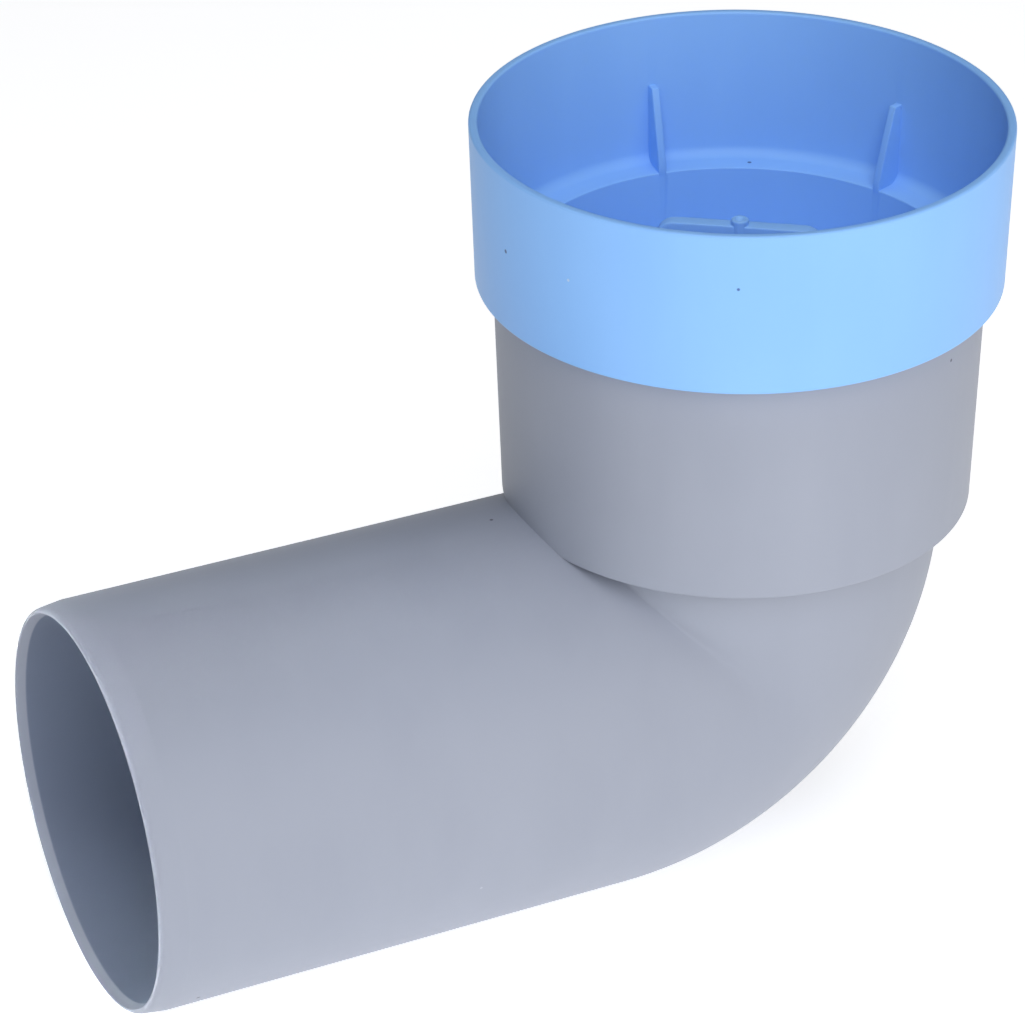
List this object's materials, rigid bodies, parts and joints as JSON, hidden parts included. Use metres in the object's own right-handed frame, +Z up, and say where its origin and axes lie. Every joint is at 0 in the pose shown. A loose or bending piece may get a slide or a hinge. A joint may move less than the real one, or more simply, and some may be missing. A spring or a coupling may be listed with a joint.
{
  "type": "socketed soil pipe elbow",
  "caption": "Right-angle plastic soil pipe elbow for a toilet outlet: plain chamfered spigot, wide socket with rubber lip seal, and a lift-off protective lid.",
  "frame": {"origin": "centre of the spigot's end, on the spigot's axis", "axes": "+X runs along the spigot's axis from its end into the elbow, +Z is up along the socket's axis, and Y is across"},
  "size_m": [0.2599, 0.1408, 0.2138],
  "materials": {
    "grey_pvc": "satin moulded, light grey",
    "seal_rubber": "matt black moulded rubber",
    "blue_lid_plastic": "satin moulded, sky blue"
  },
  "bodies": {
    "elbow": {"elbow_body": "grey_pvc", "lip_seal": "seal_rubber"},
    "lid": {"protective_lid": "blue_lid_plastic"}
  },
  "joints": [
    {"name": "lid_lift", "type": "slide", "parent": "elbow", "child": "lid", "axis": [0, 0, 1], "range_m": [0, 0.06]}
  ]
}
